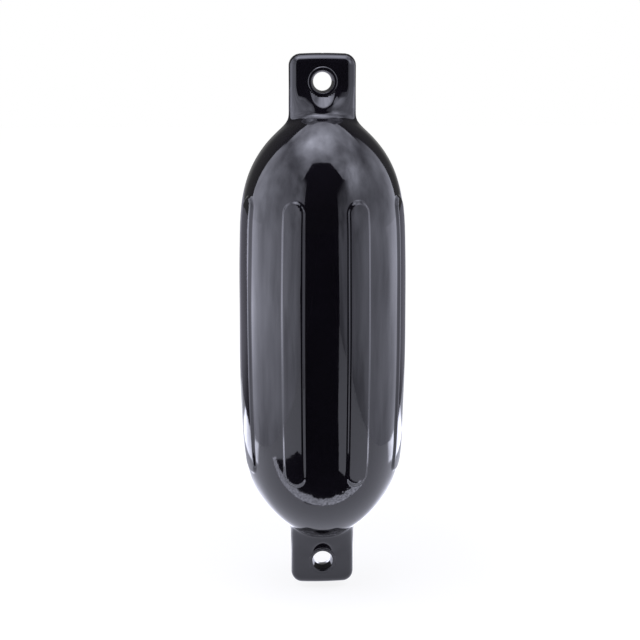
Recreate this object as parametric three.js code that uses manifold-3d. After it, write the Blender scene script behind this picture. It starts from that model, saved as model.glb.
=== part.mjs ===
// Inflatable twin-eye boat fender: one moulding in soft PVC with raised ribs along its barrel, a flat
// eye tab at each end and a rubber needle valve on the back of its upper dome. The sealed air space
// inside can't be seen into, so it is left filled.
// Millimetres, +Z up along the fender. The origin is the centre of the upper eye, which it hangs by.
import * as THREE from "three";
import { ParametricGeometry } from "three/addons/geometries/ParametricGeometry.js";
import { mergeVertices } from "three/addons/utils/BufferGeometryUtils.js";
import Module from "manifold-3d";

// Barrel and domes
const OVERALL_LENGTH = 550;
const BARREL_RADIUS = 83.4; // at mid length, between the ribs
const BARREL_SWELL = 1.45; // how much thinner the barrel is where the domes begin
const DOME_START = 90.4; // from mid length
const DOME_HEIGHT = 133.6; // from there to where the dome would close without a tab
const DOME_FULLNESS = 2.85; // a higher number keeps the dome's shoulder further out
const DOME_POINT = 0.74; // 0.5 would close the dome round, 1 would close it as a cone

// Eye tabs
const TAB_WIDTH = 65.1;
const TAB_THICKNESS = 20;
const TAB_CORNER = 9; // corner radius seen from the front
const TAB_CROWN = 1.2; // how far its end bulges at the middle
const TAB_EDGE = 9; // rounding of the rim
const TAB_ROOT_FILLET = 9; // where a tab grows out of its dome

// Necks: from just past its eye towards the dome, a tab swells from a flat plate to a pointed oval
const NECK_DEPTH = 38;
const NECK_START = 8; // from the eye's centre
const NECK_END = 28;
const NECK_POINT = 1.6; // 2 is an ellipse, less is more pointed

// Eyes
const EYE_BORE_RADIUS = 8.9;
const EYE_TO_END = 26.8;
const EYE_LIP = 3.4; // rounding of each mouth
const EYE_RING_RADIUS = 15.2; // low ring around each mouth
const EYE_RING_HEIGHT = 0.6;
const EYE_SCOOP_SLOPE = 0.8; // of the cone that keeps the neck clear of the ring
const EYE_SCOOP_REACH = 30;

// Ribs
const RIB_COUNT = 8;
const RIB_HALF_LENGTH = 142.7;
const RIB_WIDTH = 26.5; // at its foot
const RIB_HEIGHT = 2.3;
const RIB_SLOPE = 4.75; // width of the soft edge
const RIB_ROOT = 3; // how deep a rib's solid reaches into the wall

// Inflation valve, on the back of the upper dome
const VALVE_HEIGHT = 166; // above mid length
const VALVE_PLUG_RADIUS = 6;
const VALVE_PLUG_DEPTH = 16;
const VALVE_FLANGE_RADIUS = 9.5;
const VALVE_FLANGE_THICKNESS = 1.6;
const VALVE_DIMPLE_RADIUS = 1.6;
const VALVE_DIMPLE_DEPTH = 3;
const VALVE_SEAT_RIM = 3.6; // width of the raised ring around the flange
const VALVE_SEAT_HEIGHT = 2.2; // of that ring above the dome
const FIT_GAP = 0.3;

// Fineness of the facets
const SKIN_COLUMNS = 56;
const BARREL_ROWS = 3; // from mid length to where a dome begins
const DOME_ROWS = 13; // from there to the top of the neck
const END_ROWS = 7; // over a tab's corners and end
const ROUND_STEPS = 24;
const RIB_SPANS = 6; // along a rib
const LIP_STEPS = 3;
const CROWDING = 0.25; // draws the skin's columns towards the tabs' edges

const HALF_LENGTH = OVERALL_LENGTH / 2;
const EYE_HEIGHT = HALF_LENGTH - EYE_TO_END; // from mid length
const TAB_HALF = TAB_THICKNESS / 2;

const wasm = await Module();
wasm.setup();

// A closed three.js geometry as a solid, with the triangles that a pole flattens left out.
function solidOf(geometry) {
  const bare = geometry.clone();
  bare.deleteAttribute("normal");
  bare.deleteAttribute("uv");
  const merged = mergeVertices(bare, 1e-4);
  const corners = merged.index.array;
  const kept = [];
  for (let i = 0; i < corners.length; i += 3) {
    const [a, b, c] = corners.slice(i, i + 3);
    if (a !== b && b !== c && c !== a) kept.push(a, b, c);
  }
  return new wasm.Manifold(
    new wasm.Mesh({
      numProp: 3,
      vertProperties: merged.attributes.position.array,
      triVerts: new Uint32Array(kept),
    }),
  );
}

function geometryOf(solid) {
  const mesh = solid.getMesh();
  const geometry = new THREE.BufferGeometry();
  geometry.setAttribute("position", new THREE.BufferAttribute(mesh.vertProperties, 3));
  geometry.setIndex(new THREE.BufferAttribute(mesh.triVerts, 1));
  const flat = geometry.toNonIndexed();
  flat.computeVertexNormals();
  return flat;
}

// Radius of the barrel and its domes at a height from mid length, without tabs or ribs.
function hullRadius(height) {
  const z = Math.abs(height);
  if (z <= DOME_START) return BARREL_RADIUS - BARREL_SWELL * (z / DOME_START) ** 2;
  const climb = Math.min((z - DOME_START) / DOME_HEIGHT, 1);
  return (BARREL_RADIUS - BARREL_SWELL) * (1 - climb ** DOME_FULLNESS) ** DOME_POINT;
}

// Angle between the hull's outward normal and the level at a height.
const SLOPE_STEP = 0.05;
function hullTilt(height) {
  const shrink = hullRadius(height - SLOPE_STEP) - hullRadius(height + SLOPE_STEP);
  return Math.atan2(shrink, 2 * SLOPE_STEP);
}

// Rough distance from a point to the hull, below zero inside it.
const CLOSING_HEIGHT = DOME_START + DOME_HEIGHT;
function hullDistance(radius, height) {
  const z = Math.min(Math.abs(height), CLOSING_HEIGHT);
  const tilt = hullTilt(Math.min(z, CLOSING_HEIGHT - 4 * SLOPE_STEP));
  return (radius - hullRadius(z)) * Math.cos(tilt) + Math.abs(height) - z;
}

// Distance to a corner rounded by a radius, from how far a point lies past each of its two sides.
function cornerDistance(pastOne, pastOther, radius) {
  const a = pastOne + radius;
  const b = pastOther + radius;
  return Math.hypot(Math.max(a, 0), Math.max(b, 0)) + Math.min(Math.max(a, b), 0) - radius;
}

// Distance from a point to an eye tab: a plate with round corners and a round rim.
function plateDistance(x, y, height) {
  const end = HALF_LENGTH - TAB_CROWN * (x / (TAB_WIDTH / 2)) ** 2;
  const outline = cornerDistance(Math.abs(x) - TAB_WIDTH / 2, Math.abs(height) - end, TAB_CORNER);
  return cornerDistance(outline, Math.abs(y) - TAB_HALF, TAB_EDGE);
}

// Distance from a point to a tab with its neck, blended from the one section to the other.
function tabDistance(x, y, height) {
  const across = Math.abs(x / (TAB_WIDTH / 2)) ** NECK_POINT;
  const through = Math.abs(y / (NECK_DEPTH / 2)) ** NECK_POINT;
  const oval = ((across + through) ** (1 / NECK_POINT) - 1) * (NECK_DEPTH / 2);
  const pastEye = EYE_HEIGHT - Math.abs(height);
  const swell = Math.min(Math.max((pastEye - NECK_START) / (NECK_END - NECK_START), 0), 1);
  return plateDistance(x, y, height) * (1 - swell) + oval * swell;
}

// Distance to hull and tab as one body, with the fillet where they meet.
function skinDistance({ x, y, z }) {
  const hull = hullDistance(Math.hypot(x, y), z);
  const tab = tabDistance(x, y, z);
  const blend = Math.max(TAB_ROOT_FILLET - Math.abs(hull - tab), 0) / TAB_ROOT_FILLET;
  return Math.min(hull, tab) - (blend ** 2 * TAB_ROOT_FILLET) / 4;
}

// Rows of the upper half of the skin, each a set of rays that leave the axis at one height and tilt.
// They lie closer together towards the neck's top, and turn upwards over the tab's end.
const NECK_TOP = EYE_HEIGHT - NECK_START;
const TURN_HEIGHT = HALF_LENGTH - TAB_CORNER;
const shares = (count) => Array.from({ length: count }, (_, i) => (i + 1) / count);
const upperRows = [
  ...shares(BARREL_ROWS).map((share) => ({ height: share * DOME_START, tilt: 0 })),
  ...shares(DOME_ROWS).map((share) => {
    const eased = Math.sin((share * Math.PI) / 2);
    return { height: DOME_START + eased * (NECK_TOP - DOME_START), tilt: 0 };
  }),
  { height: TURN_HEIGHT, tilt: 0 },
  ...shares(END_ROWS).map((share) => ({ height: TURN_HEIGHT, tilt: (share ** 2 * Math.PI) / 2 })),
];

function rowAt(v) {
  const row = Math.round((2 * v - 1) * upperRows.length);
  if (row === 0) return { height: 0, tilt: 0 };
  const { height, tilt } = upperRows[Math.abs(row) - 1];
  return { height: Math.sign(row) * height, tilt: Math.sign(row) * tilt };
}

// A point of the skin: a ray leaves the fender's axis and stops where it meets the surface.
function skinPoint(u, v, target) {
  const around = 2 * Math.PI * u - CROWDING * Math.sin(4 * Math.PI * u);
  const { height, tilt } = rowAt(v);
  const level = Math.abs(tilt) > Math.PI / 2 - 1e-6 ? 0 : Math.cos(tilt);
  const direction = new THREE.Vector3(level * Math.cos(around), level * Math.sin(around), Math.sin(tilt));
  let inside = 0;
  let outside = BARREL_RADIUS * 1.5;
  for (let i = 0; i < 36; i += 1) {
    const middle = (inside + outside) / 2;
    target.copy(direction).multiplyScalar(middle);
    target.z += height;
    if (skinDistance(target) < 0) inside = middle;
    else outside = middle;
  }
}

function skin() {
  const closeSeam = (u, v, target) => skinPoint(u % 1, v, target);
  return solidOf(new ParametricGeometry(closeSeam, SKIN_COLUMNS, 2 * upperRows.length));
}

// A rib: a long pad with half-round ends and soft edges, bent to the barrel it lies on.
function rib(index) {
  const capRadius = RIB_WIDTH / 2 - RIB_SLOPE;
  const straight = RIB_HALF_LENGTH - RIB_WIDTH / 2;
  const sideHeights = shares(RIB_SPANS).map((share) => (2 * share - 1) * straight);
  const outline = new THREE.Shape();
  outline.moveTo(capRadius, -straight);
  for (const height of sideHeights) outline.lineTo(capRadius, height);
  outline.absarc(0, straight, capRadius, 0, Math.PI, false);
  for (const height of sideHeights) outline.lineTo(-capRadius, -height);
  outline.absarc(0, -straight, capRadius, Math.PI, 2 * Math.PI, false);
  const pad = new THREE.ExtrudeGeometry(outline, {
    depth: RIB_ROOT,
    bevelThickness: RIB_HEIGHT,
    bevelSize: RIB_SLOPE,
    bevelSegments: 1,
    curveSegments: ROUND_STEPS / 6,
  });
  const middle = ((index + 0.5) * 2 * Math.PI) / RIB_COUNT;
  const spot = pad.attributes.position;
  for (let i = 0; i < spot.count; i += 1) {
    const angle = middle + spot.getX(i) / BARREL_RADIUS;
    const radius = hullRadius(spot.getY(i)) - RIB_ROOT + spot.getZ(i);
    spot.setXYZ(i, radius * Math.cos(angle), radius * Math.sin(angle), spot.getY(i));
  }
  return solidOf(pad);
}

// A closed turned shape on the Z axis, from radius and height pairs that start and end on the axis.
function turned(profile) {
  const points = profile.map(([radius, height]) => new THREE.Vector2(radius, height));
  return new THREE.LatheGeometry(points, ROUND_STEPS).rotateX(Math.PI / 2);
}

// What one eye removes: a bore through the tab with a rounded mouth at each face.
function eyeCutter(side) {
  const face = TAB_HALF + EYE_RING_HEIGHT;
  const profile = [[0, -face - 1]];
  const mouth = (end) => {
    for (let i = 0; i <= LIP_STEPS; i += 1) {
      const turn = ((end < 0 ? i : LIP_STEPS - i) / LIP_STEPS) * (Math.PI / 2);
      const radius = EYE_BORE_RADIUS + EYE_LIP * (1 - Math.sin(turn));
      profile.push([radius, end * (face - EYE_LIP * (1 - Math.cos(turn)))]);
    }
  };
  profile.push([EYE_BORE_RADIUS + EYE_LIP, -face - 1]);
  mouth(-1);
  mouth(1);
  profile.push([EYE_BORE_RADIUS + EYE_LIP, face + 1]);
  profile.push([0, face + 1]);
  return solidOf(turned(profile).rotateX(-Math.PI / 2).translate(0, 0, side * EYE_HEIGHT));
}

// What is scooped out of one face of the neck around an eye: a shallow cone.
function eyeScoop(side, turn) {
  const start = TAB_HALF + 0.05;
  const top = start + EYE_SCOOP_SLOPE * (EYE_SCOOP_REACH - EYE_RING_RADIUS);
  const profile = [
    [0, start],
    [EYE_RING_RADIUS, start],
    [EYE_SCOOP_REACH, top],
    [0, top],
  ];
  const cone = turned(profile).rotateX(-Math.PI / 2).rotateZ(turn);
  return solidOf(cone.translate(0, 0, side * EYE_HEIGHT));
}

// The low flat ring that stands around both mouths of an eye.
function eyeRing(side) {
  const face = TAB_HALF + EYE_RING_HEIGHT;
  const soft = EYE_RING_HEIGHT;
  const profile = [
    [0, -face],
    [EYE_RING_RADIUS - soft, -face],
    [EYE_RING_RADIUS, -face + soft],
    [EYE_RING_RADIUS, face - soft],
    [EYE_RING_RADIUS - soft, face],
    [0, face],
  ];
  return solidOf(turned(profile).rotateX(-Math.PI / 2).translate(0, 0, side * EYE_HEIGHT));
}

// Stands a geometry made on the Z axis on the back of the upper dome, its Z axis along the normal.
function onValveSeat(geometry) {
  const tilt = hullTilt(VALVE_HEIGHT);
  return geometry.rotateX(tilt - Math.PI / 2).translate(0, hullRadius(VALVE_HEIGHT), VALVE_HEIGHT);
}

// Raised ring that the valve's flange lies in.
function valveSeat() {
  const outer = VALVE_FLANGE_RADIUS + FIT_GAP + VALVE_SEAT_RIM;
  const soft = VALVE_SEAT_RIM / 3;
  const profile = [
    [0, -VALVE_PLUG_DEPTH],
    [outer, -VALVE_PLUG_DEPTH],
    [outer, VALVE_SEAT_HEIGHT - soft],
    [outer - soft, VALVE_SEAT_HEIGHT],
    [0, VALVE_SEAT_HEIGHT],
  ];
  return solidOf(onValveSeat(turned(profile)));
}

// Pocket in that ring and in the wall behind it, for the valve.
function valvePocket() {
  const floor = VALVE_SEAT_HEIGHT - VALVE_FLANGE_THICKNESS - FIT_GAP;
  const profile = [
    [0, floor - VALVE_PLUG_DEPTH],
    [VALVE_PLUG_RADIUS + FIT_GAP, floor - VALVE_PLUG_DEPTH],
    [VALVE_PLUG_RADIUS + FIT_GAP, floor],
    [VALVE_FLANGE_RADIUS + FIT_GAP, floor],
    [VALVE_FLANGE_RADIUS + FIT_GAP, VALVE_SEAT_HEIGHT + 1],
    [0, VALVE_SEAT_HEIGHT + 1],
  ];
  return solidOf(onValveSeat(turned(profile)));
}

// The valve: a rubber plug under a flange, with a dimple that guides the pump's needle.
function valveGeometry() {
  const top = VALVE_SEAT_HEIGHT;
  const under = top - VALVE_FLANGE_THICKNESS;
  const soft = VALVE_FLANGE_THICKNESS / 3;
  const profile = [
    [0, under - VALVE_PLUG_DEPTH + FIT_GAP],
    [VALVE_PLUG_RADIUS - soft, under - VALVE_PLUG_DEPTH + FIT_GAP],
    [VALVE_PLUG_RADIUS, under - VALVE_PLUG_DEPTH + FIT_GAP + soft],
    [VALVE_PLUG_RADIUS, under],
    [VALVE_FLANGE_RADIUS, under],
    [VALVE_FLANGE_RADIUS, top - soft],
    [VALVE_FLANGE_RADIUS - soft, top],
    [VALVE_DIMPLE_RADIUS, top],
    [0, top - VALVE_DIMPLE_DEPTH],
  ];
  return onValveSeat(turned(profile));
}

function bodyGeometry() {
  let body = skin();
  for (let i = 0; i < RIB_COUNT; i += 1) body = body.add(rib(i));
  for (const side of [-1, 1]) {
    for (const turn of [0, Math.PI]) body = body.subtract(eyeScoop(side, turn));
    body = body.add(eyeRing(side)).subtract(eyeCutter(side));
  }
  return geometryOf(body.add(valveSeat()).subtract(valvePocket()));
}

const glossyPvc = new THREE.MeshStandardMaterial({ color: "#17161a", roughness: 0.18, metalness: 0 });
const butylRubber = new THREE.MeshStandardMaterial({ color: "#1e1d1e", roughness: 0.6, metalness: 0 });

const body = new THREE.Mesh(bodyGeometry(), glossyPvc);
body.name = "fender_body";

const valve = new THREE.Mesh(geometryOf(solidOf(valveGeometry())), butylRubber);
valve.name = "inflation_valve";

const fender = new THREE.Group();
fender.add(body, valve);
fender.position.z = -EYE_HEIGHT;

export default fender;
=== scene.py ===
import math

import bpy
import numpy as np
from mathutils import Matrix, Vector


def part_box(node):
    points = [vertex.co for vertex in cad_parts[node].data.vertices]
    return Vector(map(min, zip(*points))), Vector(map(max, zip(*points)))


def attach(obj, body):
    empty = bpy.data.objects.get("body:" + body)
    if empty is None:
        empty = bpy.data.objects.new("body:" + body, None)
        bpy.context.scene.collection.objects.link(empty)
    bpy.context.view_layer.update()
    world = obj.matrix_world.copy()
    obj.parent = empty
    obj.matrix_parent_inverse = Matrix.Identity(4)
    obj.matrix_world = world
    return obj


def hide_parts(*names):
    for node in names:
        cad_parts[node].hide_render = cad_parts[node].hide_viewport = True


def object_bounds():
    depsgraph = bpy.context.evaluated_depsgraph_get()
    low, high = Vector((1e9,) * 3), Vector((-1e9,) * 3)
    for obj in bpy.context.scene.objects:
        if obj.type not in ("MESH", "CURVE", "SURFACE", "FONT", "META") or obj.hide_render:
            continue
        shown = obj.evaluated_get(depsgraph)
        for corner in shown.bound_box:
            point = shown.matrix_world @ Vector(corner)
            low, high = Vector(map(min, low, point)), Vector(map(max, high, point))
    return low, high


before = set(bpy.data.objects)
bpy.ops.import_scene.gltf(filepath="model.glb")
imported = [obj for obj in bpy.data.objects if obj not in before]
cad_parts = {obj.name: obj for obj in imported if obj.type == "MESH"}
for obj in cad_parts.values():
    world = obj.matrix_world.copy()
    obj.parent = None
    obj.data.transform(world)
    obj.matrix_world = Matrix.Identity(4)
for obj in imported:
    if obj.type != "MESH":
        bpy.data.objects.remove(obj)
cad_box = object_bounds()


# The moulded body: soft PVC turned in a heated two-part mould, so that barrel, domes, ribs and both
# eye tabs are one hollow skin. Its sizes are in millimetres, and heights count from mid length.
MM = 0.001
body_low, body_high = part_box("fender_body")
HALF_LENGTH = (body_high[2] - body_low[2]) / MM / 2
MID_HEIGHT = (body_high[2] + body_low[2]) / MM / 2

BARREL_RADIUS = 83.4
BARREL_SWELL = 1.45
SWELL_TAIL = 0.2
DOME_START = 90.4
DOME_HEIGHT = 133.6
DOME_FULLNESS = 2.85
DOME_POINT = 0.74
CLOSING_HEIGHT = DOME_START + DOME_HEIGHT

TAB_WIDTH = 64.8
TAB_THICKNESS = 20.0
TAB_CORNER = 10.5
TAB_EDGE = 9.0
TAB_ROOT_FILLET = 9.0
TAB_CROWN = 1.2

EYE_HEIGHT = -MID_HEIGHT
EYE_RING_RADIUS = 14.4
EYE_RING_HEIGHT = 0.6
EYE_FACE = TAB_THICKNESS / 2 + EYE_RING_HEIGHT
EYE_SCOOP_SLOPE = 0.8
EYE_SCOOP_FILLET = 1.5

NECK_DEPTH = 38.0
NECK_START = 2.0
NECK_END = 26.0
NECK_POINT = 1.6

RIB_COUNT = 8
RIB_HALF_LENGTH = 142.7
RIB_WIDTH = 26.5
RIB_HEIGHT = 2.0
RIB_SLOPE = 4.75

SEAM_HEIGHT = 0.22
SEAM_HALF_WIDTH = 0.5
SLACK = 0.12
SLACK_FADE = 50.0
AXIS_SLOPE = 1e-4


def soft_step(share):
    share = np.clip(share, 0, 1)
    return share * share * (3 - 2 * share)


def barrel_radius(z):
    """The barrel narrows away from mid length, and that slope runs out softly under the dome."""
    share = z / DOME_START
    past = np.maximum(share - 1, 0)
    tail = 2 * SWELL_TAIL * (1 - np.exp(-past / SWELL_TAIL))
    return BARREL_RADIUS - BARREL_SWELL * (np.minimum(share, 1) ** 2 + tail)


def hull_radius(height):
    z = np.abs(height)
    barrel = barrel_radius(z)
    climb = np.clip((z - DOME_START) / DOME_HEIGHT, 0, 1)
    return barrel * (1 - climb ** DOME_FULLNESS) ** DOME_POINT


def hull_distance(radius, height):
    """Distance to barrel and domes, smooth right over the point where a dome closes. The least
    slope keeps it finite on the axis."""
    z = np.abs(height)
    barrel = barrel_radius(z)
    share = np.maximum(radius, 0) / barrel
    climb = np.maximum(z - DOME_START, 0) / DOME_HEIGHT
    past = share ** (1 / DOME_POINT) + climb ** DOME_FULLNESS - 1
    outward = share ** (1 / DOME_POINT - 1) / DOME_POINT / barrel
    upward = DOME_FULLNESS * climb ** (DOME_FULLNESS - 1) / DOME_HEIGHT
    return past / np.hypot(np.hypot(outward, upward), AXIS_SLOPE)


def hull_tilt(height, step=0.05):
    z = np.minimum(np.abs(height), CLOSING_HEIGHT - 4 * step)
    return np.arctan2(hull_radius(z - step) - hull_radius(z + step), 2 * step)


def rib_rise(angle, height):
    """How far the skin stands out for the nearest rib."""
    pitch = 2 * np.pi / RIB_COUNT
    across = (np.mod(angle, pitch) - pitch / 2) * BARREL_RADIUS
    beyond = np.maximum(np.abs(height) - (RIB_HALF_LENGTH - RIB_WIDTH / 2), 0)
    climb = np.clip((RIB_WIDTH / 2 - np.hypot(across, beyond)) / RIB_SLOPE, 0, 1)
    return RIB_HEIGHT * climb ** 3 * (climb * (6 * climb - 15) + 10)


def slack_rise(angle, height):
    """The slow unevenness of an inflated skin."""
    waves = np.sin(3 * angle + height / 31 + 0.7) + 0.8 * np.sin(5 * angle - height / 23 + 2.1)
    waves += 0.7 * np.sin(2 * angle + height / 17 + 4.0) + 0.5 * np.sin(9 * angle + height / 41)
    return SLACK * waves


def corner_distance(past_one, past_other, radius):
    """Distance to a corner rounded by a radius, from the distances past its two sides."""
    a = past_one + radius
    b = past_other + radius
    return np.hypot(np.maximum(a, 0), np.maximum(b, 0)) + np.minimum(np.maximum(a, b), 0) - radius


def joined(one, other, fillet):
    """Two distances as one body, with a fillet where they meet."""
    blend = np.maximum(fillet - np.abs(one - other), 0) / fillet
    return np.minimum(one, other) - blend ** 3 * fillet / 6


def tab_distance(x, y, height):
    """Distance to a tab: a plate that swells to a pointed oval neck past its eye."""
    end = HALF_LENGTH - TAB_CROWN * (x / (TAB_WIDTH / 2)) ** 2
    outline = corner_distance(np.abs(x) - TAB_WIDTH / 2, np.abs(height) - end, TAB_CORNER)
    plate = corner_distance(outline, np.abs(y) - TAB_THICKNESS / 2, TAB_EDGE)
    across = np.abs(x / (TAB_WIDTH / 2)) ** NECK_POINT
    through = np.abs(y / (NECK_DEPTH / 2)) ** NECK_POINT
    oval = ((across + through) ** (1 / NECK_POINT) - 1) * NECK_DEPTH / 2
    swell = soft_step((EYE_HEIGHT - np.abs(height) - NECK_START) / (NECK_END - NECK_START))
    beyond_ring = np.maximum(np.hypot(x, np.abs(height) - EYE_HEIGHT) - EYE_RING_RADIUS, 0)
    scoop = (np.abs(y) - EYE_FACE - beyond_ring * EYE_SCOOP_SLOPE) / math.hypot(1, EYE_SCOOP_SLOPE)
    return -joined(-plate * (1 - swell) - oval * swell, -scoop, EYE_SCOOP_FILLET)


def skin_distance(x, y, height):
    """Distance to the moulding's outside, before the eyes are cut."""
    angle = np.arctan2(y, x)
    to_neck = CLOSING_HEIGHT - np.abs(height)
    rise = rib_rise(angle, height) + slack_rise(angle, height) * soft_step(to_neck / SLACK_FADE)
    hull = hull_distance(np.hypot(x, y) - rise, height)
    seam = SEAM_HEIGHT * np.exp(-((y / SEAM_HALF_WIDTH) ** 2))
    return joined(hull, tab_distance(x, y, height), TAB_ROOT_FILLET) - seam


VALLEY_COLUMNS = 9
SLOPE_COLUMNS = 7
PAD_COLUMNS = 4
SLOPE_MARGIN = 0.4
BARREL_ROWS = 14
RIB_END_ROWS = 15
DOME_ROWS = 28
ROOT_ROWS = 34
TAB_ROWS = 24
END_ROWS = 18
END_CROWDING = 1.6
RIB_END_MARGIN = 1.0
ROOT_BELOW = 20.0
ROOT_ABOVE = 8.0
HALVINGS = 40


def column_angles():
    """Angles of the mesh's columns, close together on the ribs' slopes and at the mould's seam."""
    middle = math.pi / RIB_COUNT
    foot = middle - (RIB_WIDTH / 2 + SLOPE_MARGIN) / BARREL_RADIUS
    brow = middle - (RIB_WIDTH / 2 - RIB_SLOPE - SLOPE_MARGIN) / BARREL_RADIUS
    half = np.concatenate([
        np.linspace(0, foot, VALLEY_COLUMNS, endpoint=False),
        np.linspace(foot, brow, SLOPE_COLUMNS, endpoint=False),
        np.linspace(brow, middle, PAD_COLUMNS + 1),
    ])
    sector = np.concatenate([half, 2 * middle - half[-2:0:-1]])
    angles = np.concatenate([sector + 2 * middle * i for i in range(RIB_COUNT)])
    seam = np.array([-2, -1, 1, 2]) * SEAM_HALF_WIDTH / BARREL_RADIUS
    return np.unique(np.mod(np.concatenate([angles, seam, seam + math.pi]), 2 * math.pi))


def row_rays():
    """Height and tilt of each row's rays, from the lower tab's end to the upper one's. The rows
    stand close at the ribs' ends and at the tab's root, and fan out around the tab's end."""
    rib_turn = RIB_HALF_LENGTH - RIB_WIDTH / 2 - RIB_END_MARGIN
    rib_end = RIB_HALF_LENGTH + RIB_END_MARGIN
    root_start = CLOSING_HEIGHT - ROOT_BELOW
    root_end = CLOSING_HEIGHT + ROOT_ABOVE
    turn = HALF_LENGTH - TAB_CORNER
    levels = np.concatenate([
        np.linspace(0, rib_turn, BARREL_ROWS, endpoint=False),
        np.linspace(rib_turn, rib_end, RIB_END_ROWS, endpoint=False),
        np.linspace(rib_end, root_start, DOME_ROWS, endpoint=False),
        np.linspace(root_start, root_end, ROOT_ROWS, endpoint=False),
        np.linspace(root_end, turn, TAB_ROWS, endpoint=False),
    ])
    tilts = np.linspace(0, 1, END_ROWS + 1)[:-1] ** END_CROWDING * math.pi / 2
    heights = np.concatenate([levels, np.full(len(tilts), turn)])
    tilts = np.concatenate([np.zeros(len(levels)), tilts])
    return np.concatenate([-heights[:0:-1], heights]), np.concatenate([-tilts[:0:-1], tilts])


def skin_points():
    """Where each ray from the fender's axis leaves the moulding, as rows of points."""
    heights, tilts = row_rays()
    angles = column_angles()
    across = np.cos(tilts)[:, None] * np.cos(angles)[None, :]
    through = np.cos(tilts)[:, None] * np.sin(angles)[None, :]
    up = np.sin(tilts)[:, None] * np.ones(len(angles))[None, :]
    inside = np.zeros(across.shape)
    outside = np.full(across.shape, BARREL_RADIUS * 1.5)
    for _ in range(HALVINGS):
        reach = (inside + outside) / 2
        within = skin_distance(across * reach, through * reach, heights[:, None] + up * reach) < 0
        inside = np.where(within, reach, inside)
        outside = np.where(within, outside, reach)
    return np.stack([across * inside, through * inside, heights[:, None] + up * inside], axis=-1)


def mesh_object(name, points, faces):
    """A smooth object from points in millimetres, with heights counted from mid length."""
    placed = np.asarray(points, dtype=float) + (0, 0, MID_HEIGHT)
    mesh = bpy.data.meshes.new(name)
    mesh.from_pydata((placed * MM).tolist(), [], faces)
    mesh.polygons.foreach_set("use_smooth", [True] * len(mesh.polygons))
    mesh.update()
    obj = bpy.data.objects.new(name, mesh)
    bpy.context.scene.collection.objects.link(obj)
    return obj


def grid_faces(rows, columns):
    """Quads of a grid that closes around, row by row upwards."""
    faces = []
    for i in range(rows - 1):
        for j in range(columns):
            k = (j + 1) % columns
            faces.append((i * columns + j, i * columns + k, (i + 1) * columns + k, (i + 1) * columns + j))
    return faces


def skin_object():
    grid = skin_points()
    rows, columns = grid.shape[:2]
    points = grid.reshape(-1, 3).tolist() + [(0, 0, -HALF_LENGTH), (0, 0, HALF_LENGTH)]
    faces = grid_faces(rows, columns)
    below, above = rows * columns, rows * columns + 1
    for j in range(columns):
        k = (j + 1) % columns
        faces.append((below, k, j))
        faces.append((above, (rows - 1) * columns + j, (rows - 1) * columns + k))
    return mesh_object("fender_skin", points, faces)


EYE_SEGMENTS = 128
EYE_OVERLAP = 0.2
EYE_HOLE = EYE_RING_RADIUS - EYE_OVERLAP


def eye_cutter(side):
    """A straight cutter for the hole that the eye's own moulding fills."""
    around = np.linspace(0, 2 * math.pi, EYE_SEGMENTS, endpoint=False)
    points = [
        (EYE_HOLE * math.cos(a), y, side * EYE_HEIGHT + EYE_HOLE * math.sin(a))
        for y in (-TAB_THICKNESS, TAB_THICKNESS) for a in around
    ]
    faces = [face[::-1] for face in grid_faces(2, EYE_SEGMENTS)]
    faces.append(tuple(range(EYE_SEGMENTS)))
    faces.append(tuple(range(len(points) - 1, len(points) - 1 - EYE_SEGMENTS, -1)))
    return mesh_object("eye_cutter", points, faces)


def cut_eyes(skin):
    for side in (-1, 1):
        cutter = eye_cutter(side)
        cut = skin.modifiers.new("eye", "BOOLEAN")
        cut.operation = "DIFFERENCE"
        cut.solver = "EXACT"
        cut.object = cutter
        evaluated = skin.evaluated_get(bpy.context.evaluated_depsgraph_get())
        skin.data = bpy.data.meshes.new_from_object(evaluated)
        skin.modifiers.clear()
        bpy.data.objects.remove(cutter)


def points_of(obj):
    flat = np.empty(len(obj.data.vertices) * 3)
    obj.data.vertices.foreach_get("co", flat)
    return flat.reshape(-1, 3) / MM - (0, 0, MID_HEIGHT)


def true_normals(obj, step=0.01):
    """Gives each vertex the normal of the form itself, so that gloss runs clean over every facet."""
    x, y, z = points_of(obj).T
    slopes = [
        skin_distance(x + step, y, z) - skin_distance(x - step, y, z),
        skin_distance(x, y + step, z) - skin_distance(x, y - step, z),
        skin_distance(x, y, z + step) - skin_distance(x, y, z - step),
    ]
    normals = np.stack(slopes, axis=1)
    normals /= np.maximum(np.linalg.norm(normals, axis=1, keepdims=True), 1e-9)
    obj.data.polygons.foreach_set("use_smooth", [True] * len(obj.data.polygons))
    obj.data.normals_split_custom_set_from_vertices(normals.tolist())


def linear(hex_colour):
    """An sRGB hex colour as linear red, green, blue and alpha."""
    channels = [int(hex_colour[i:i + 2], 16) / 255 for i in (1, 3, 5)]
    return [c / 12.92 if c <= 0.04045 else ((c + 0.055) / 1.055) ** 2.4 for c in channels] + [1.0]


def node(tree, kind, settings=None, links=None):
    """Adds a node with its settings. Links maps an input to a value or to another node's output;
    the input goes by its name, or by its number where a node has several of one name."""
    made = tree.nodes.new(kind)
    for name, value in (settings or {}).items():
        setattr(made, name, value)
    for name, value in (links or {}).items():
        if isinstance(value, bpy.types.NodeSocket):
            tree.links.new(value, made.inputs[name])
        else:
            made.inputs[name].default_value = value
    return made


def new_material(name):
    material = bpy.data.materials.new(name)
    material.use_nodes = True
    material.node_tree.nodes.clear()
    return material, material.node_tree


# Plasticised PVC with carbon black, cured against a polished mould: a deep black with a wet gloss,
# broken by a faint orange peel and by smears where hands have dulled it.
PVC_BLACK = "#09080a"
PVC_HAZE = "#110f14"
PVC_IOR = 1.54
PEEL_GRAIN = 5.0
PEEL_DEPTH = 0.05
PEEL_STRENGTH = 0.35
SMEAR_SIZE = 45.0
POLISHED = 0.04
DULLED = 0.09


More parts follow.
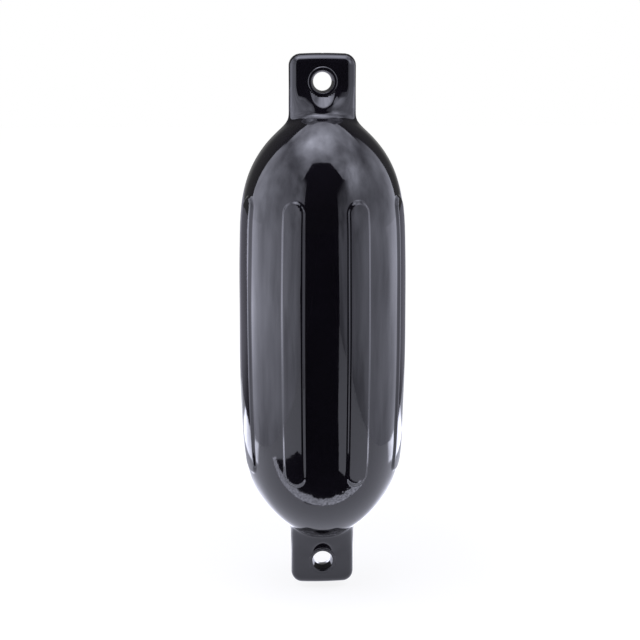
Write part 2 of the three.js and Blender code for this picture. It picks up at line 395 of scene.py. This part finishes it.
def glossy_pvc():
    material, tree = new_material("glossy_black_pvc")
    place = node(tree, "ShaderNodeTexCoord").outputs["Object"]
    peel = node(tree, "ShaderNodeTexNoise", {"noise_dimensions": "3D"},
                {"Vector": place, "Scale": 1 / (PEEL_GRAIN * MM), "Detail": 1.5, "Roughness": 0.4})
    smear = node(tree, "ShaderNodeTexNoise", {"noise_dimensions": "3D"},
                 {"Vector": place, "Scale": 1 / (SMEAR_SIZE * MM), "Detail": 3.0, "Distortion": 0.6})
    gloss = node(tree, "ShaderNodeMapRange", {"interpolation_type": "SMOOTHSTEP"},
                 {"Value": smear.outputs["Fac"], "From Min": 0.38, "From Max": 0.72,
                  "To Min": POLISHED, "To Max": DULLED})
    tint = node(tree, "ShaderNodeMix", {"data_type": "RGBA"},
                {"Factor": smear.outputs["Fac"], 6: linear(PVC_BLACK), 7: linear(PVC_HAZE)})
    bump = node(tree, "ShaderNodeBump", None,
                {"Height": peel.outputs["Fac"], "Strength": PEEL_STRENGTH, "Distance": PEEL_DEPTH * MM})
    shader = node(tree, "ShaderNodeBsdfPrincipled", None,
                  {"Base Color": tint.outputs[2], "Roughness": gloss.outputs["Result"],
                   "IOR": PVC_IOR, "Normal": bump.outputs["Normal"]})
    node(tree, "ShaderNodeOutputMaterial", None, {"Surface": shader.outputs["BSDF"]})
    return material


pvc = glossy_pvc()
body = skin_object()
cut_eyes(body)
true_normals(body)
body.data.materials.clear()
body.data.materials.append(pvc)
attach(body, "root")
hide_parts("fender_body")


# The eyes: part of the same moulding, a bore with a round lip at each mouth and a low flat ring
# around it, against which a shackle or a thimble lies.
EYE_WAIST = 8.9
EYE_FLARE = 1.8
EYE_FLARE_POWER = 1.2
EYE_LIP = 1.3
EYE_RING_SLOPE = 0.8
EYE_RING_EDGE = 0.4
EYE_SKIRT = 0.3
EYE_SKIRT_DEPTH = 0.4
EYE_EDGE_STEPS = 10
EYE_BORE_STEPS = 16


def rounded_profile(corners, steps=6):
    """A profile through corners of radius, height and rounding, with each corner as an arc."""
    profile = []
    for i, (radius, height, rounding) in enumerate(corners):
        here = np.array([radius, height], dtype=float)
        if rounding == 0 or i in (0, len(corners) - 1):
            profile.append(here)
            continue
        before = np.array(corners[i - 1][:2]) - here
        after = np.array(corners[i + 1][:2]) - here
        start = here + before / np.linalg.norm(before) * rounding
        end = here + after / np.linalg.norm(after) * rounding
        for share in np.linspace(0, 1, steps + 1):
            profile.append((1 - share) ** 2 * start + 2 * share * (1 - share) * here + share ** 2 * end)
    return np.array(profile)


def turned_object(name, profile, centre, side, up, out, rise=None):
    """Turns a profile of radius and height about an axis through a centre."""
    around = np.linspace(0, 2 * math.pi, EYE_SEGMENTS, endpoint=False)
    across = profile[:, :1] * np.cos(around)[None, :]
    along = profile[:, :1] * np.sin(around)[None, :]
    level = np.repeat(profile[:, 1:], EYE_SEGMENTS, axis=1)
    if rise is not None:
        level = level + rise(across, along)
    spots = centre + across[..., None] * side + along[..., None] * up + level[..., None] * out
    return mesh_object(name, spots.reshape(-1, 3), grid_faces(len(profile), EYE_SEGMENTS))


def eye_profile():
    """From under the skin of one face, over the ring and the lip, through the bore to the other."""
    mouth = EYE_WAIST + EYE_FLARE
    step = rounded_profile([
        (EYE_RING_RADIUS + EYE_SKIRT, TAB_THICKNESS / 2 - EYE_SKIRT_DEPTH, 0),
        (EYE_RING_RADIUS - EYE_RING_SLOPE, EYE_FACE, EYE_RING_EDGE),
        (mouth, EYE_FACE, EYE_LIP),
        (mouth, EYE_FACE - EYE_LIP, 0),
    ], steps=EYE_EDGE_STEPS)[:-1]
    depths = np.linspace(EYE_FACE - EYE_LIP, 0, EYE_BORE_STEPS)
    flare = EYE_WAIST + EYE_FLARE * (depths / (EYE_FACE - EYE_LIP)) ** EYE_FLARE_POWER
    half = np.concatenate([step, np.stack([flare, depths], axis=1)])
    return np.concatenate([half, half[-2::-1] * (1, -1)])


for name, side in (("upper_eye", 1), ("lower_eye", -1)):
    eye = turned_object(name, eye_profile(), np.array([0, 0, side * EYE_HEIGHT]),
                        np.array([1.0, 0, 0]), np.array([0, 0, 1.0]), np.array([0, -1.0, 0]))
    eye.data.materials.append(pvc)
    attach(eye, "root")
    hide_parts("fender_body")


# The valve's seat: a low moulded ring on the back of the upper dome, part of the same PVC skin,
# with a foot that runs out softly into the dome and a flat recess for the valve's flange.
VALVE_HEIGHT = 166.0
VALVE_FLANGE_RADIUS = 9.5
VALVE_FLANGE_THICKNESS = 1.6
SEAT_RIM = 3.6
SEAT_HEIGHT = 2.2
SEAT_FOOT = 3.5
SEAT_BLEND_START = 0.5
SEAT_BLEND_WIDTH = 2.0
FIT_GAP = 0.3
RISE_LOWEST = -30.0
RISE_HIGHEST = 5.0

valve_tilt = float(hull_tilt(VALVE_HEIGHT))
valve_spot = np.array([0, float(hull_radius(VALVE_HEIGHT)), VALVE_HEIGHT])
valve_out = np.array([0, math.cos(valve_tilt), math.sin(valve_tilt)])
valve_up = np.array([0, -math.sin(valve_tilt), math.cos(valve_tilt)])
valve_side = np.array([-1.0, 0, 0])


def dome_rise(across, up):
    """How far the dome lies from the plane that touches it at the valve, along that plane's normal."""
    low = np.full(across.shape, RISE_LOWEST)
    high = np.full(across.shape, RISE_HIGHEST)
    for _ in range(HALVINGS):
        level = (low + high) / 2
        spot = valve_spot + across[..., None] * valve_side + up[..., None] * valve_up
        spot = spot + level[..., None] * valve_out
        within = skin_distance(spot[..., 0], spot[..., 1], spot[..., 2]) < 0
        low = np.where(within, level, low)
        high = np.where(within, high, level)
    return low


seat_radius = VALVE_FLANGE_RADIUS + FIT_GAP + SEAT_RIM
seat_floor = SEAT_HEIGHT - VALVE_FLANGE_THICKNESS - FIT_GAP

# Each corner of the seat, as of the valve below, is a radius, a height above the dome and a rounding.
seat_profile = rounded_profile([
    (seat_radius + SEAT_FOOT, -0.35, 0),
    (seat_radius + 0.6, 0.1, 1.6),
    (seat_radius, SEAT_HEIGHT, 1.1),
    (VALVE_FLANGE_RADIUS + FIT_GAP, SEAT_HEIGHT, 0.5),
    (VALVE_FLANGE_RADIUS + FIT_GAP, seat_floor, 0.2),
    (0.6, seat_floor, 0),
])


def seat_rise(across, up):
    """The seat's foot follows the dome, and its rim stays level."""
    follow = soft_step((np.hypot(across, up) - seat_radius + SEAT_BLEND_START) / SEAT_BLEND_WIDTH)
    return dome_rise(across, up) * follow


seat = turned_object("valve_seat", seat_profile, valve_spot, valve_side, valve_up, valve_out, seat_rise)
seat.data.materials.append(pvc)
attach(seat, "root")
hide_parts("fender_body")


# The inflation valve: a butyl rubber plug pressed into the seat, whose flange shows. The pump's
# needle goes in at the middle, through a slit that closes by itself.
BUTYL_DARK = "#1b1a1b"
BUTYL_BLOOM = "#2b2a2b"
BUTYL_IOR = 1.52
BLAST_GRAIN = 0.5
BLAST_DEPTH = 0.05
BLOOM_SIZE = 9.0

GROOVE_OUTSIDE = 6.4
GROOVE_INSIDE = 4.8
GROOVE_SLOPE = 0.4
GROOVE_DEPTH = 0.5
DIMPLE_MOUTH = 2.2
DIMPLE_FOOT = 1.0
DIMPLE_DEPTH = 1.6
SLIT_DEPTH = 2.0


def butyl_rubber():
    """Butyl rubber from a blasted mould: a dull dark grey with a fine grain and a trace of bloom."""
    material, tree = new_material("butyl_rubber")
    place = node(tree, "ShaderNodeTexCoord").outputs["Object"]
    grain = node(tree, "ShaderNodeTexNoise", None,
                 {"Vector": place, "Scale": 1 / (BLAST_GRAIN * MM), "Detail": 2.0})
    bloom = node(tree, "ShaderNodeTexNoise", None,
                 {"Vector": place, "Scale": 1 / (BLOOM_SIZE * MM), "Detail": 3.0})
    tint = node(tree, "ShaderNodeMix", {"data_type": "RGBA"},
                {"Factor": bloom.outputs["Fac"], 6: linear(BUTYL_DARK), 7: linear(BUTYL_BLOOM)})
    rough = node(tree, "ShaderNodeMapRange", None,
                 {"Value": grain.outputs["Fac"], "To Min": 0.5, "To Max": 0.68})
    bump = node(tree, "ShaderNodeBump", None,
                {"Height": grain.outputs["Fac"], "Strength": 0.4, "Distance": BLAST_DEPTH * MM})
    shader = node(tree, "ShaderNodeBsdfPrincipled", None,
                  {"Base Color": tint.outputs[2], "Roughness": rough.outputs["Result"],
                   "IOR": BUTYL_IOR, "Normal": bump.outputs["Normal"]})
    node(tree, "ShaderNodeOutputMaterial", None, {"Surface": shader.outputs["BSDF"]})
    return material


valve_profile = rounded_profile([
    (5.5, seat_floor + 0.02, 0),
    (VALVE_FLANGE_RADIUS, seat_floor + FIT_GAP, 0.2),
    (VALVE_FLANGE_RADIUS, SEAT_HEIGHT, 0.6),
    (GROOVE_OUTSIDE, SEAT_HEIGHT, 0.25),
    (GROOVE_OUTSIDE - GROOVE_SLOPE, SEAT_HEIGHT - GROOVE_DEPTH, 0.25),
    (GROOVE_INSIDE + GROOVE_SLOPE, SEAT_HEIGHT - GROOVE_DEPTH, 0.25),
    (GROOVE_INSIDE, SEAT_HEIGHT, 0.25),
    (DIMPLE_MOUTH, SEAT_HEIGHT + 0.1, 0.5),
    (DIMPLE_FOOT, SEAT_HEIGHT - DIMPLE_DEPTH, 0.4),
    (0.05, SEAT_HEIGHT - SLIT_DEPTH, 0),
])
valve = turned_object("valve_plug", valve_profile, valve_spot, valve_side, valve_up, valve_out)
valve.data.materials.append(butyl_rubber())
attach(valve, "root")
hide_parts("inflation_valve")


# The floor: a white studio table just below the fender, with a dark cloth over its front part, a
# runner with a wide fold at its head. Only the gloss sees the cloth and the table's ends: for the
# gloss the table glows with painted light, the cloth is a painted dark reflection, and the ground
# past the table's ends glows faintly with painted light. The camera sees the table white all over,
# with a painted glow that is weaker near the fender and the fender's shadow on it. Sizes are in metres.
FLOOR_DROP = 0.006
TABLE_BACK = 0.75
CLOTH_START = 0.12
CLOTH_MIDDLE = -0.014
CLOTH_TURN = math.radians(-5.2)
CLOTH_HALF_WIDTH = 0.058
CLOTH_SPREAD = 0.441
FOLD_MIDDLE = -0.1
FOLD_HALF_WIDTH = 0.295
FOLD_SPREAD = -0.41
FOLD_LENGTH = 0.28
EVERYWHERE = 20.0
WALL = 0.5
MID = MID_HEIGHT * MM
FLOOR_LEVEL = cad_box[0][2] - FLOOR_DROP
FLOOR_HALF = 6.0

SEEN_BOARD = "#747474"
SEEN_WHITE = "#ffffff"
# Painted glow of the camera's board: SEEN_SHADE near the fender, so that its shadow shows, up to white past
# WHITE_REACH.
SEEN_SHADE = 0.84
SHADE_REACH = abs(FLOOR_LEVEL) + 0.02
WHITE_REACH = abs(FLOOR_LEVEL) + 0.2
TABLE_BOARD = "#d0d0d0"
# Painted light: for the fender's gloss the table glows with a faint blue tint, though it is no lamp.
TABLE_TINT = "#eef0ff"
TABLE_GLOW = 0.65
# Painted dark reflection: a black cloth that the fender's gloss sees and the camera doesn't.
REFLECTED_CLOTH_BLACK = "#101012"
# Painted light: past the table's ends the ground glows faintly for the fender's gloss, though it is no lamp.
GROUND_TINT = "#ecebff"
GROUND_GLOW = 0.5
GROUND_START = 0.2


def inside_wedge(tree, place, tip, turn, half_width, spread, length):
    """1 within a wedge that runs forward along the ground from its tip, and 0 elsewhere."""
    local = node(tree, "ShaderNodeMapping", {"vector_type": "TEXTURE"},
                 {"Vector": place, "Location": (*tip, 0), "Rotation": (0, 0, turn)})
    parts = node(tree, "ShaderNodeSeparateXYZ", None, {"Vector": local.outputs["Vector"]})
    edge = node(tree, "ShaderNodeMath", {"operation": "MULTIPLY_ADD"},
                {0: parts.outputs["Y"], 1: -spread, 2: half_width})
    across = node(tree, "ShaderNodeMath", {"operation": "COMPARE"},
                  {0: parts.outputs["X"], 1: 0.0, 2: edge.outputs[0]})
    along = node(tree, "ShaderNodeMath", {"operation": "COMPARE"},
                 {0: parts.outputs["Y"], 1: -length / 2, 2: length / 2})
    both = node(tree, "ShaderNodeMath", {"operation": "MULTIPLY"},
                {0: across.outputs[0], 1: along.outputs[0]})
    return both.outputs[0]


def on_reflected_cloth(tree, place):
    """1 on the cloth's runner and on its fold, and 0 elsewhere: the mask of the painted dark reflection."""
    runner = inside_wedge(tree, place, (CLOTH_MIDDLE, -CLOTH_START), CLOTH_TURN,
                          CLOTH_HALF_WIDTH, CLOTH_SPREAD, EVERYWHERE)
    fold = inside_wedge(tree, place, (FOLD_MIDDLE, -CLOTH_START), 0.0,
                        FOLD_HALF_WIDTH, FOLD_SPREAD, FOLD_LENGTH)
    cloth = node(tree, "ShaderNodeMath", {"operation": "MAXIMUM"}, {0: runner, 1: fold})
    return cloth.outputs[0]


def off_table(tree, place):
    """1 past the side walls and behind the table's back edge, and 0 on the table."""
    parts = node(tree, "ShaderNodeSeparateXYZ", None, {"Vector": place})
    behind = node(tree, "ShaderNodeMath", {"operation": "GREATER_THAN"},
                  {0: parts.outputs["Y"], 1: TABLE_BACK})
    between = node(tree, "ShaderNodeMath", {"operation": "COMPARE"},
                   {0: parts.outputs["X"], 1: 0.0, 2: WALL})
    beside = node(tree, "ShaderNodeMath", {"operation": "SUBTRACT"}, {0: 1.0, 1: between.outputs[0]})
    either = node(tree, "ShaderNodeMath", {"operation": "MAXIMUM"},
                  {0: beside.outputs[0], 1: behind.outputs[0]})
    return either.outputs[0]


def floor_paint():
    """Matt white board that glows with painted light for all rays but the camera's. For those rays a
    matt black cloth lies on it as a painted dark reflection, and past its ends the ground glows
    faintly with painted light. The camera's board glows with painted light, weaker near the fender
    and whiter away from it."""
    material, tree = new_material("white_board")
    place = node(tree, "ShaderNodeNewGeometry").outputs["Position"]
    path = node(tree, "ShaderNodeLightPath")
    seen = node(tree, "ShaderNodeMath", {"operation": "MAXIMUM"},
                {0: path.outputs["Is Camera Ray"], 1: path.outputs["Is Transmission Ray"]})
    reach = node(tree, "ShaderNodeVectorMath", {"operation": "LENGTH"}, {0: place})
    # Painted light: the camera's board glows less near the fender and more away from it.
    whiteness = node(tree, "ShaderNodeMapRange", {"interpolation_type": "SMOOTHSTEP"},
                     {"Value": reach.outputs["Value"], "From Min": SHADE_REACH, "From Max": WHITE_REACH,
                      "To Min": SEEN_SHADE, "To Max": 1.0})
    seen_glow = node(tree, "ShaderNodeEmission", None,
                     {"Color": linear(SEEN_WHITE), "Strength": whiteness.outputs["Result"]})
    seen_board = node(tree, "ShaderNodeBsdfDiffuse", None, {"Color": linear(SEEN_BOARD)})
    seen_table = node(tree, "ShaderNodeAddShader", None, {0: seen_glow.outputs[0], 1: seen_board.outputs[0]})
    # Painted light: the table's glow, seen only in the fender's gloss.
    glow = node(tree, "ShaderNodeEmission", None, {"Color": linear(TABLE_TINT), "Strength": TABLE_GLOW})
    board = node(tree, "ShaderNodeBsdfDiffuse", None, {"Color": linear(TABLE_BOARD)})
    table = node(tree, "ShaderNodeAddShader", None, {0: glow.outputs[0], 1: board.outputs[0]})
    # Painted dark reflection: the black cloth, mixed in where its mask is 1.
    cloth = node(tree, "ShaderNodeBsdfDiffuse", None, {"Color": linear(REFLECTED_CLOTH_BLACK)})
    dressed = node(tree, "ShaderNodeMixShader", None,
                   {0: on_reflected_cloth(tree, place), 1: table.outputs[0], 2: cloth.outputs[0]})
    # Painted light: the ground past the table glows, more towards the back, seen only in the fender's gloss.
    beyond = node(tree, "ShaderNodeSeparateXYZ", None, {"Vector": place})
    ground_glow = node(tree, "ShaderNodeMapRange", {"interpolation_type": "SMOOTHSTEP"},
                       {"Value": beyond.outputs["Y"], "From Min": GROUND_START, "From Max": TABLE_BACK,
                        "To Min": 0.0, "To Max": GROUND_GLOW})
    ground = node(tree, "ShaderNodeEmission", None,
                  {"Color": linear(GROUND_TINT), "Strength": ground_glow.outputs["Result"]})
    reflected = node(tree, "ShaderNodeMixShader", None,
                     {0: off_table(tree, place), 1: dressed.outputs[0], 2: ground.outputs[0]})
    mix = node(tree, "ShaderNodeMixShader", None,
               {0: seen.outputs[0], 1: reflected.outputs[0], 2: seen_table.outputs[0]})
    node(tree, "ShaderNodeOutputMaterial", None, {"Surface": mix.outputs[0]})
    return material


def floor_board():
    corners = [(FLOOR_HALF * x, FLOOR_HALF * y, FLOOR_LEVEL) for x, y in ((-1, -1), (1, -1), (1, 1), (-1, 1))]
    mesh = bpy.data.meshes.new("floor")
    mesh.from_pydata(corners, [], [(0, 1, 2, 3)])
    obj = bpy.data.objects.new("floor", mesh)
    bpy.context.scene.collection.objects.link(obj)
    obj.data.materials.append(floor_paint())


floor_board()


# The studio: a small light tent with lit walls left and right, a lit roof that is open towards the
# camera, low lamps, and the bright frayed edge of the cloth. Its front is open and dark, which the
# gloss shows as a black stripe down the middle. Lamps give their light as radiance, where 1 is white.
ROOF = MID + 0.87
WALL_LOW = FLOOR_LEVEL - 0.01
LAMP_TINT = "#eaecff"


def lamp_panel(name, place, toward, width, height, low, high=None, feather=0.0, grain=0.22, mottle=0.45,
               shade=None):
    """A flat lamp that shines toward a direction. Its radiance runs from low to high up the lamp,
    fades over a share of its width at the edges, and is mottled as lit cloth is. Shade is a function
    that gives the part of the light that is let through at a place."""
    light = bpy.data.lights.new(name, "AREA")
    light.shape = "RECTANGLE"
    light.size = width
    light.size_y = height
    light.energy = math.pi * width * height
    light.color = linear(LAMP_TINT)[:3]
    light.use_nodes = True
    tree = light.node_tree
    tree.nodes.clear()
    shape = node(tree, "ShaderNodeNewGeometry")
    spot = node(tree, "ShaderNodeSeparateXYZ", None, {"Vector": shape.outputs["Parametric"]})
    factors = [node(tree, "ShaderNodeMapRange", None,
                    {"Value": spot.outputs["Y"], "To Min": low, "To Max": high or low}).outputs["Result"]]
    for part in ("X", "Y") if feather else ():
        middle = node(tree, "ShaderNodeMath", {"operation": "PINGPONG"}, {0: spot.outputs[part], 1: 0.5})
        fade = node(tree, "ShaderNodeMapRange", {"interpolation_type": "SMOOTHSTEP"},
                    {"Value": middle.outputs[0], "From Min": 0.0, "From Max": feather})
        factors.append(fade.outputs["Result"])
    cloth = node(tree, "ShaderNodeTexNoise", None,
                 {"Vector": shape.outputs["Position"], "Scale": 1 / grain, "Detail": 3.0})
    uneven = node(tree, "ShaderNodeMapRange", None,
                  {"Value": cloth.outputs["Fac"], "From Min": 0.25, "From Max": 0.75,
                   "To Min": 1 - mottle, "To Max": 1 + mottle})
    factors.append(uneven.outputs["Result"])
    if shade:
        factors.append(shade(tree, shape.outputs["Position"]))
    strength = factors[0]
    for factor in factors[1:]:
        product = node(tree, "ShaderNodeMath", {"operation": "MULTIPLY"}, {0: strength, 1: factor})
        strength = product.outputs[0]
    shine = node(tree, "ShaderNodeEmission", None, {"Strength": strength})
    node(tree, "ShaderNodeOutputLight", None, {"Surface": shine.outputs[0]})
    obj = bpy.data.objects.new(name, light)
    obj.location = place
    obj.rotation_euler = Vector(toward).to_track_quat("-Z", "Y").to_euler()
    obj.visible_camera = False
    bpy.context.scene.collection.objects.link(obj)


WALL_DIM_HEIGHT = 0.25
WALL_FOOT_LIGHT = 0.62
WALL_FRONT = -1.2
WALL_FRONT_LIGHT = 0.5
WALL_BACK = 0.3
WALL_BACK_LIGHT = 1.25
WALL_FADE = 0.3


def wall_shade(tree, place):
    """A wall is dimmer towards the table and its front end, and fades out under the roof."""
    parts = node(tree, "ShaderNodeSeparateXYZ", None, {"Vector": place})
    upward = node(tree, "ShaderNodeMapRange", {"interpolation_type": "SMOOTHSTEP"},
                  {"Value": parts.outputs["Z"], "From Min": WALL_LOW, "From Max": WALL_LOW + WALL_DIM_HEIGHT,
                   "To Min": WALL_FOOT_LIGHT, "To Max": 1.0})
    backward = node(tree, "ShaderNodeMapRange", None,
                    {"Value": parts.outputs["Y"], "From Min": WALL_FRONT, "From Max": WALL_BACK,
                     "To Min": WALL_FRONT_LIGHT, "To Max": WALL_BACK_LIGHT})
    under_roof = node(tree, "ShaderNodeMapRange", {"interpolation_type": "SMOOTHSTEP"},
                      {"Value": parts.outputs["Z"], "From Min": ROOF - WALL_FADE, "From Max": ROOF,
                       "To Min": 1.0, "To Max": 0.0})
    both = node(tree, "ShaderNodeMath", {"operation": "MULTIPLY"},
                {0: upward.outputs["Result"], 1: backward.outputs["Result"]})
    all_three = node(tree, "ShaderNodeMath", {"operation": "MULTIPLY"},
                     {0: both.outputs[0], 1: under_roof.outputs["Result"]})
    return all_three.outputs[0]


def wall_panel(name, side, front, back, low, high):
    """A lit side wall from the table up to the roof, between two depths."""
    middle = (side * WALL, (front + back) / 2, (WALL_LOW + ROOF) / 2)
    lamp_panel(name, middle, (-side, 0, 0), back - front, ROOF - WALL_LOW, low, high, shade=wall_shade)


ROOF_FRONT = -0.85
ROOF_BACK = 0.28
ROOF_WIDTH = 1.5
ROOF_FADE = 0.38
NOTCH_TIP = (-0.05, -0.5)
NOTCH_HALF_WIDTH = 0.19
NOTCH_SPREAD = 1.1


def roof_notch(tree, place):
    """The roof fades out past the walls, and its front is open in a wedge that widens forward."""
    opening = inside_wedge(tree, place, NOTCH_TIP, 0.0, NOTCH_HALF_WIDTH, NOTCH_SPREAD, EVERYWHERE)
    left_over = node(tree, "ShaderNodeMath", {"operation": "SUBTRACT"}, {0: 1.0, 1: opening})
    parts = node(tree, "ShaderNodeSeparateXYZ", None, {"Vector": place})
    off_middle = node(tree, "ShaderNodeMath", {"operation": "ABSOLUTE"}, {0: parts.outputs["X"]})
    fade = node(tree, "ShaderNodeMapRange", {"interpolation_type": "SMOOTHSTEP"},
                {"Value": off_middle.outputs[0], "From Min": ROOF_FADE, "From Max": ROOF_WIDTH / 2,
                 "To Min": 1.0, "To Max": 0.0})
    both = node(tree, "ShaderNodeMath", {"operation": "MULTIPLY"},
                {0: left_over.outputs[0], 1: fade.outputs["Result"]})
    return both.outputs[0]


FRINGE_DEPTH = 0.05
FRINGE_THREADS = 0.03


def ragged_fringe(tree, place):
    """Cuts the fringe's front edge to an uneven line."""
    parts = node(tree, "ShaderNodeSeparateXYZ", None, {"Vector": place})
    threads = node(tree, "ShaderNodeTexNoise", None,
                   {"Vector": place, "Scale": 1 / FRINGE_THREADS, "Detail": 4.0})
    length = node(tree, "ShaderNodeMapRange", None,
                  {"Value": threads.outputs["Fac"], "From Min": 0.3, "From Max": 0.7,
                   "To Min": -CLOTH_START - 0.5 * FRINGE_DEPTH, "To Max": -CLOTH_START - FRINGE_DEPTH})
    kept = node(tree, "ShaderNodeMath", {"operation": "GREATER_THAN"},
                {0: parts.outputs["Y"], 1: length.outputs["Result"]})
    return kept.outputs[0]


wall_panel("left_wall", side=-1, front=-0.9, back=0.25, low=2.9, high=1.3)
wall_panel("right_wall", side=1, front=-1.42, back=0.3, low=2.1, high=0.7)
lamp_panel("wall_glow", place=(WALL - 0.01, -0.4, ROOF - 0.25), toward=(-1, 0, 0),
           width=0.8, height=0.7, low=4.0, feather=0.5)
lamp_panel("roof", place=(0, (ROOF_FRONT + ROOF_BACK) / 2, ROOF), toward=(0, 0, -1),
           width=ROOF_WIDTH, height=ROOF_BACK - ROOF_FRONT, low=2.4, shade=roof_notch)
lamp_panel("roof_lamp", place=(-0.08, -0.15, ROOF - 0.01), toward=(0, 0, -1),
           width=0.8, height=0.7, low=5.0, feather=0.5)
lamp_panel("cloth_fringe", place=(FOLD_MIDDLE, -CLOTH_START - FRINGE_DEPTH / 2, FLOOR_LEVEL + 0.002),
           toward=(0, 0, 1), width=2 * FOLD_HALF_WIDTH, height=FRINGE_DEPTH, low=3.6,
           grain=0.008, mottle=0.8, shade=ragged_fringe)
lamp_panel("under_lamp", place=(0, 0.15, FLOOR_LEVEL + 0.003), toward=(0, 0, 1),
           width=0.5, height=0.26, low=1.5, feather=0.4)
for end in (-1, 1):
    lamp_panel("low_lamp", place=(end * 0.41, 0.27, FLOOR_LEVEL + 0.003), toward=(0, 0, 1),
               width=0.18, height=0.38, low=4.5, feather=0.12)

WORLD_SIDES = 0.12
WORLD_FRONT = 0.01
WORLD_BEHIND = 0.2


def studio_world():
    """White for the camera; for all else a dark front and a pale grey back."""
    world = bpy.data.worlds.new("studio")
    bpy.context.scene.world = world
    world.use_nodes = True
    tree = world.node_tree
    tree.nodes.clear()
    path = node(tree, "ShaderNodeLightPath")
    seen = node(tree, "ShaderNodeMath", {"operation": "MAXIMUM"},
                {0: path.outputs["Is Camera Ray"], 1: path.outputs["Is Transmission Ray"]})
    toward = node(tree, "ShaderNodeTexCoord").outputs["Generated"]
    parts = node(tree, "ShaderNodeSeparateXYZ", None, {"Vector": toward})
    sides = node(tree, "ShaderNodeMapRange", {"interpolation_type": "SMOOTHSTEP"},
                 {"Value": parts.outputs["Y"], "From Min": 0.1, "From Max": 0.6,
                  "To Min": WORLD_FRONT, "To Max": WORLD_SIDES})
    behind = node(tree, "ShaderNodeMapRange", {"interpolation_type": "SMOOTHSTEP"},
                  {"Value": parts.outputs["Y"], "From Min": 0.8, "From Max": 1.0,
                   "To Min": 0.0, "To Max": WORLD_BEHIND})
    pale = node(tree, "ShaderNodeMath", {"operation": "ADD"},
                {0: sides.outputs["Result"], 1: behind.outputs["Result"]})
    dim = node(tree, "ShaderNodeBackground", None,
               {"Color": linear(SEEN_WHITE), "Strength": pale.outputs[0]})
    white = node(tree, "ShaderNodeBackground", None, {"Color": linear(SEEN_WHITE), "Strength": 1.0})
    mix = node(tree, "ShaderNodeMixShader", None,
               {0: seen.outputs[0], 1: dim.outputs[0], 2: white.outputs[0]})
    node(tree, "ShaderNodeOutputWorld", None, {"Surface": mix.outputs[0]})


studio_world()
bpy.context.scene.view_settings.view_transform = "Standard"


# The camera: a short telephoto a little above the fender, level with the top of its upper eye.
CAMERA_DISTANCE = 1.266
CAMERA_ELEVATION = 13.88
CAMERA_AZIMUTH = -3.0
CAMERA_PITCH = 13.43
CAMERA_TURN = 0.103
CAMERA_LENS = 70.1
CAMERA_SENSOR = 36.0

camera = bpy.data.cameras.new("camera")
camera.lens = CAMERA_LENS
camera.sensor_width = CAMERA_SENSOR
viewer = bpy.data.objects.new("camera", camera)
azimuth = math.radians(CAMERA_AZIMUTH)
lift = math.radians(CAMERA_ELEVATION)
viewer.location = (
    CAMERA_DISTANCE * math.sin(azimuth) * math.cos(lift),
    -CAMERA_DISTANCE * math.cos(azimuth) * math.cos(lift),
    MID + CAMERA_DISTANCE * math.sin(lift),
)
viewer.rotation_euler = (math.radians(90 - CAMERA_PITCH), 0, azimuth + math.radians(CAMERA_TURN))
bpy.context.scene.collection.objects.link(viewer)
bpy.context.scene.camera = viewer
